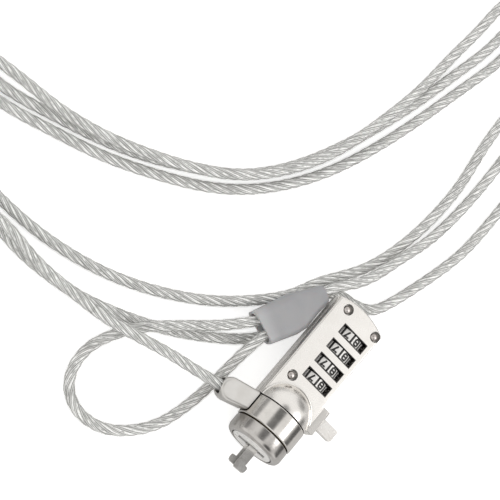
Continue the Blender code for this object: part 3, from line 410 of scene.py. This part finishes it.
marks = np.linspace(0, reach[-1], int(round(reach[-1] / RING_STEP)) + 1)
marks[np.argmin(np.abs(marks - LEAD_END))] = LEAD_END
centres = along_line(marks)
heading = np.gradient(centres, marks, axis=0)
heading /= np.linalg.norm(heading, axis=1)[:, None]
# A frame that doesn't twist about the cable, carried from ring to ring.
across_way = np.zeros_like(heading)
across_way[0] = np.cross(heading[0], (0, 0, 1))
for i in range(1, len(heading)):
    across_way[i] = across_way[i - 1] - heading[i] * (across_way[i - 1] @ heading[i])
across_way /= np.linalg.norm(across_way, axis=1)[:, None]
up_way = np.cross(heading, across_way)


def strand_ring():
    """The rope's outline: (radius, angle) of each point round the strands, and its place on its strand."""
    ring, place = [], []
    for k in range(STRANDS):
        for turn in STRAND_POINTS:
            x = STRAND_AT + STRAND_R * math.cos(math.radians(turn))
            y = STRAND_R * math.sin(math.radians(turn))
            ring.append((math.hypot(x, y), math.atan2(y, x) + 2 * math.pi * k / STRANDS))
            place.append(turn / 360)
    return np.array(ring), np.array(place)


def tube(ring_radius, ring_angle, rings, base):
    """Points of each ring, and the quads that join them, as arrays."""
    angle = ring_angle + base[rings][:, None]
    flat = (ring_radius * np.cos(angle))[..., None] * across_way[rings][:, None]
    flat = flat + (ring_radius * np.sin(angle))[..., None] * up_way[rings][:, None]
    points = (centres[rings][:, None] + flat) * MM
    count = len(ring_radius)
    i, j = np.meshgrid(np.arange(len(rings) - 1), np.arange(count), indexing="ij")
    following = (j + 1) % count
    here, after = i * count, (i + 1) * count
    quads = np.stack([here + j, here + following, after + following, after + j], axis=-1)
    return points.reshape(-1, 3), quads.reshape(-1, 4), i.ravel(), j.ravel(), following.ravel()


def cable(name, low, high):
    """One mesh of twisted strands in their clear sheath, from one length along the route to another."""
    first, last = (int(np.argmin(np.abs(marks - m))) for m in (low, high))
    rings = np.arange(first, last + 1)
    lay_turn = 2 * math.pi * marks / LAY
    ring, place = strand_ring()
    rope_points, rope_quads, i, j, following = tube(ring[:, 0], ring[:, 1], rings, lay_turn)
    seam = following % len(STRAND_POINTS) == 0
    u_near, u_far = place[j], np.where(seam, place[j], place[following])
    v_low, v_high = marks[rings][i] * MM, marks[rings][i + 1] * MM
    rope_uv = np.stack([u_near, v_low, u_far, v_low, u_far, v_high, u_near, v_high], axis=1).reshape(-1, 2)
    sheath_rings = np.unique(np.concatenate([rings[::SHEATH_EVERY], [last]]))
    sheath_angle = np.linspace(0, 2 * math.pi, SHEATH_SIDES, endpoint=False)
    sheath_radius = np.full(SHEATH_SIDES, CABLE_R - 0.02)
    sheath_points, sheath_quads, *_ = tube(sheath_radius, sheath_angle, sheath_rings, 0 * lay_turn)
    points = np.concatenate([rope_points, sheath_points])
    shift, count = len(rope_points), len(ring)
    faces = [list(q) for q in rope_quads] + [list(q + shift) for q in sheath_quads]
    caps = [list(range(count))[::-1], [len(rope_points) - count + k for k in range(count)]]
    caps.append([shift + k for k in range(SHEATH_SIDES)][::-1])
    caps.append([len(points) - SHEATH_SIDES + k for k in range(SHEATH_SIDES)])
    mesh = bpy.data.meshes.new(name)
    mesh.from_pydata(points.tolist(), [], faces + caps)
    mesh.materials.append(LOOKS["cable_steel"])
    mesh.materials.append(LOOKS["clear_sheath"])
    slots = np.zeros(len(mesh.polygons), np.int32)
    slots[len(rope_quads):len(faces)] = 1
    slots[-2:] = 1
    mesh.polygons.foreach_set("material_index", slots)
    mesh.polygons.foreach_set("use_smooth", np.ones(len(mesh.polygons), bool))
    layer = mesh.uv_layers.new(name="lay")
    values = np.zeros((len(mesh.loops), 2), np.float32)
    values[:len(rope_uv)] = rope_uv
    layer.data.foreach_set("uv", values.ravel())
    mesh.update()
    obj = bpy.data.objects.new(name, mesh)
    scene.collection.objects.link(obj)
    return obj, (centres[rings] * MM).tolist()


lead, lead_path = cable("lead_rope", 0, LEAD_END)
loop_rope, rope_path = cable("looped_rope", LEAD_END, reach[-1])
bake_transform(lead)
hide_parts("cable_lead")
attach(loop_rope, "lock_body")
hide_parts("lock_cable")

# ---------------------------------------------------------------- looks and edges of the model's own pieces
# node: (look, edge rounding in mm, segments)
FINISH = {
    "top_cover": ("nickel_cover", 0.22, 3),
    "housing": ("nickel_housing", 0.2, 2),
    "swivel_ring": ("nickel_round", 0.14, 2),
    "cable_boss": ("nickel_boss", 0.45, 3),
    "knob": ("nickel_knob", 0.14, 2),
    "front_disc": ("nickel_disc", 0.1, 2),
    "push_tab": ("nickel_housing", 0.25, 3),
    "hook_left": ("hook_steel", 0.28, 3),
    "hook_right": ("hook_steel", 0.28, 3),
    "hook_pivot": ("turned_steel", 0.08, 2),
    "cam_slider": ("turned_steel", 0.08, 2),
    "barrel_core": ("turned_steel", 0.1, 2),
    "ring_washer": ("brass", 0.05, 2),
    "spindle": ("turned_steel", 0.08, 2),
    "drive_yoke": ("turned_steel", 0.1, 2),
    "yoke_pin": ("turned_steel", 0.08, 2),
    "end_bush": ("brass", 0.1, 2),
    "detent_plate": ("spring_steel", 0.05, 2),
    "sleeve_spring": ("spring_steel", 0, 0),
    "tab_spring": ("spring_steel", 0, 0),
    "cable_crimp": ("aluminium", 0.1, 2),
    "loop_crimp": ("aluminium", 0.1, 2),
    "loop_sleeve": ("grey_plastic", 0.35, 3),
}
FINISH.update({f"rivet_{n}": ("rivet_steel", 0.08, 2) for n in (1, 2, 3)})
FINISH.update({f"dial_wheel_{n}": ("nickel_dial", 0.12, 2) for n in DIALS})
FINISH.update({f"code_sleeve_{n}": ("brass", 0.08, 2) for n in DIALS})


def rounded(obj, width, segments):
    """Joins the faces of a model piece, rounds its sharp edges and shades its curves smooth."""
    obj.data.polygons.foreach_set("use_smooth", np.ones(len(obj.data.polygons), bool))
    weld = obj.modifiers.new("weld", "WELD")
    weld.merge_threshold = 1e-6
    flat = obj.modifiers.new("flat", "DECIMATE")
    flat.decimate_type, flat.angle_limit = "DISSOLVE", math.radians(0.6)
    if segments:
        edge = obj.modifiers.new("edges", "BEVEL")
        edge.width, edge.segments = width * MM, segments
        edge.limit_method, edge.angle_limit = "ANGLE", math.radians(32)
        edge.use_clamp_overlap, edge.harden_normals = True, True
    shade = obj.modifiers.new("shade", "WEIGHTED_NORMAL")
    shade.keep_sharp, shade.weight = True, 80


for name, (look, width, segments) in FINISH.items():
    obj = nodes[name]
    obj.data.materials.clear()
    obj.data.materials.append(LOOKS[look])
    rounded(obj, width, segments)

# ---------------------------------------------------------------- dial numbers, and painted shade in the notches
DIGIT_IN, DIGIT_OUT = 6.28, 6.45  # from and to these radii
NOTCH_IN, NOTCH_OUT, NOTCH_LONG = 5.62, 6.2, 2.7  # the dark blocks in the notches, which are painted shade
DIGIT_HEIGHT, DIGIT_WIDTH, STROKE = 2.7, 2.15, 0.6

# Each number as strokes in a box from -1 to 1 across and up. A stroke whose ends meet is a closed one.
ROUND = [(-1, 0.6), (-0.6, 1), (0.6, 1), (1, 0.6)]
STROKES = [
    [ROUND + [(1, -0.6), (0.6, -1), (-0.6, -1), (-1, -0.6), (-1, 0.6)]],
    [[(-0.5, 0.6), (0.1, 1), (0.1, -1)]],
    [ROUND + [(1, 0.1), (-1, -1), (1, -1)]],
    [[(-1, 1), (1, 1), (0.1, 0.15), (0.7, 0.15), (1, -0.2), (1, -0.65), (0.6, -1), (-0.6, -1), (-1, -0.65)]],
    [[(0.45, -1), (0.45, 1), (-1, -0.45), (0.1, -0.45)], [(0.8, -0.45), (1.15, -0.45)]],
    [[(1, 1), (-0.9, 1), (-0.9, 0.1), (0.6, 0.1), (1, -0.2), (1, -0.65), (0.6, -1), (-1, -1)]],
    [[(0.9, 1), (-0.6, 1), (-1, 0.6), (-1, -0.6), (-0.6, -1), (0.6, -1), (1, -0.6), (1, -0.3), (0.6, 0.05),
      (-0.65, 0.05)]],
    [[(-1, 1), (1, 1), (-0.25, -1)]],
    [ROUND + [(1, -0.6), (0.6, -1), (-0.6, -1), (-1, -0.6), (-1, 0.6)], [(-0.65, 0), (0.65, 0)]],
    [[(-0.9, -1), (0.6, -1), (1, -0.6), (1, 0.6), (0.6, 1), (-0.6, 1), (-1, 0.6), (-1, 0.3), (-0.6, -0.05),
      (0.65, -0.05)]],
]


def ribbon(stroke):
    """One stroke as points (x and y in mm, z 0 below and 1 above) and faces, with mitred corners."""
    path = [Vector(((DIGIT_WIDTH - STROKE) / 2 * x, (DIGIT_HEIGHT - STROKE) / 2 * y)) for x, y in stroke]
    closed = (path[0] - path[-1]).length < 1e-6
    path = path[:-1] if closed else path
    count = len(path)
    points = []
    for i, here in enumerate(path):
        before = path[i - 1] if closed or i else here * 2 - path[1]
        after = path[(i + 1) % count] if closed or i < count - 1 else here * 2 - path[i - 1]
        first, second = (here - before).normalized(), (after - here).normalized()
        side = Vector((-(first + second).y, (first + second).x)).normalized()
        reach_out = STROKE / 2 / max(side.dot(Vector((-first.y, first.x))), 0.5)
        for way in (1, -1):
            corner = here + side * way * reach_out
            points += [(corner.x, corner.y, 0), (corner.x, corner.y, 1)]
    faces = []
    for i in range(count if closed else count - 1):
        a, b = 4 * i, 4 * ((i + 1) % count)
        faces += [(a + 1, a + 3, b + 3, b + 1), (a, b, b + 2, a + 2)]
        faces += [(a, a + 1, b + 1, b), (a + 2, b + 2, b + 3, a + 3)]
    if not closed:
        last = 4 * (count - 1)
        faces += [(0, 2, 3, 1), (last, last + 1, last + 3, last + 2)]
    return np.array(points), faces


def digit_mesh(number):
    """The points and faces of all the strokes of one number."""
    points, faces = [], []
    for stroke in STROKES[number]:
        made, sides = ribbon(stroke)
        faces += [[len(points) + v for v in side] for side in sides]
        points += made.tolist()
    return np.array(points), faces


BLOCK = ((0, 1, 3, 2), (4, 6, 7, 5), (0, 4, 5, 1), (2, 3, 7, 6), (0, 2, 6, 4), (1, 5, 7, 3))  # its faces
STEP = 360 / NUMBERS  # degrees from one number to the next
FIRST_NUMBER = 7  # the number left of the middle of the window
digits = [digit_mesh(number) for number in range(NUMBERS)]
for n, y in enumerate(DIAL_Y, 1):
    points, faces = [], []
    for k in range(NUMBERS):
        shape, outline = digits[(FIRST_NUMBER + k) % NUMBERS]
        angle = math.radians(-STEP / 2 + STEP * k) - shape[:, 0] / DIGIT_OUT
        radius = DIGIT_IN + (DIGIT_OUT - DIGIT_IN) * shape[:, 2]
        start = len(points)
        placed = [DIAL_X + radius * np.sin(angle), y - shape[:, 1], DIAL_Z + radius * np.cos(angle)]
        points += np.stack(placed, axis=1).tolist()
        faces += [[start + v for v in f] for f in outline]
    # Painted shade: a dark block of ink fills each notch.
    for k in range(NUMBERS):
        start = len(points)
        for radius, half in ((NOTCH_IN, 1.6), (NOTCH_OUT, 2.9)):
            for side in (-half, half):
                angle = math.radians(STEP * k + side)
                points += [[DIAL_X + radius * math.sin(angle), y + end, DIAL_Z + radius * math.cos(angle)]
                           for end in (-NOTCH_LONG / 2, NOTCH_LONG / 2)]
        faces += [[start + v for v in f] for f in BLOCK]
    mesh = bpy.data.meshes.new(f"dial_numbers_and_notch_shade_{n}")
    mesh.from_pydata((np.array(points) * MM).tolist(), [], faces)
    mesh.materials.append(LOOKS["dial_ink_and_notch_shade"])
    numbers = bpy.data.objects.new(f"dial_numbers_and_notch_shade_{n}", mesh)
    scene.collection.objects.link(numbers)
    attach(numbers, f"dial_{n}")

# ---------------------------------------------------------------- floor, studio and light
floor_mesh = bpy.data.meshes.new("floor")
FLOOR, FLOOR_GLOW = 4.0, 0.6
corners = [(-FLOOR, -FLOOR, 0), (FLOOR, -FLOOR, 0), (FLOOR, FLOOR, 0), (-FLOOR, FLOOR, 0)]
floor_mesh.from_pydata(corners, [], [(0, 1, 2, 3)])
floor = bpy.data.objects.new("floor", floor_mesh)
floor.location.z = -0.05 * MM
paper = Shader("floor_paper")
fleck = paper.noise(60.0, detail=2.0)
white = paper.mix(paper.ramp(fleck, 0.3, 0.7), rgb(0.90, 0.90, 0.895), rgb(0.885, 0.885, 0.88))
paper_shader = paper.add("BsdfPrincipled", {"Base Color": white, "Roughness": 0.9, "Specular IOR Level": 0.2,
                                            "Emission Color": rgb(1, 1, 1), "Emission Strength": FLOOR_GLOW})
# The paper glows to the camera and lights the metal less, so that the lock's sides keep their shading.
dull = paper.add("BsdfDiffuse", {"Color": rgb(0.50, 0.495, 0.49)})
glow = paper.add("Emission", {"Color": rgb(1, 1, 1), "Strength": 0.22})
shaded = paper.add("AddShader", {0: dull, 1: glow})
seen = paper.add("LightPath").outputs["Is Camera Ray"]
paper.put(paper.out.inputs["Surface"], paper.add("MixShader", {0: seen, 1: shaded, 2: paper_shader}))
floor_mesh.materials.append(paper.material)
scene.collection.objects.link(floor)

# The studio: a white tent with dark gaps that shape the metal's reflections, set by comparing renders with
# the photograph. Each gap is (direction, half angle in degrees, darkness).
GAPS = [((-0.22, 0.22, 0.93), 14, 0.85), ((0.95, 0.25, 0.10), 17, 0.9), ((-0.95, 0.2, 0.05), 13, 0.65),
        ((-0.45, -0.88, 0.1), 14, 0.5), ((0.46, -0.27, 0.80), 16, 0.85),
        ((0.45, 0.87, 0.15), 15, 0.75)]
world = bpy.data.worlds.new("studio")
world.use_nodes = True
scene.world = world
studio = Shader.__new__(Shader)
studio.tree = world.node_tree
studio.tree.nodes.clear()
tent_out = studio.add("OutputWorld")
way = studio.add("TexCoord").outputs["Generated"]
tent = rgb(1.0, 0.995, 0.985)
for direction, half, dark in GAPS:
    aim = Vector(direction).normalized()
    near = studio.add("VectorMath", {0: way, 1: tuple(aim)}, operation="DOT_PRODUCT").outputs["Value"]
    edge = math.cos(math.radians(half * 1.5)), math.cos(math.radians(half * 0.6))
    tent = studio.mix(studio.ramp(near, edge[0], edge[1], 0.0, dark), tent, rgb(0.05, 0.05, 0.05))
backdrop = studio.add("Background", {"Color": tent, "Strength": 0.95})
studio.put(tent_out.inputs["Surface"], backdrop)


def softbox(name, place, aim, size, power):
    light = bpy.data.lights.new(name, "AREA")
    light.shape, light.size, light.energy = "DISK", size, power
    obj = bpy.data.objects.new(name, light)
    obj.location = place
    obj.rotation_euler = (Vector(aim) - Vector(place)).to_track_quat("-Z", "Y").to_euler()
    scene.collection.objects.link(obj)


softbox("key", (0.42, 0.20, 0.45), (0, 0, 0), 0.30, 0.5)

scene.view_settings.view_transform = "Standard"
scene.view_settings.look = "None"
scene.view_settings.exposure = 0.0
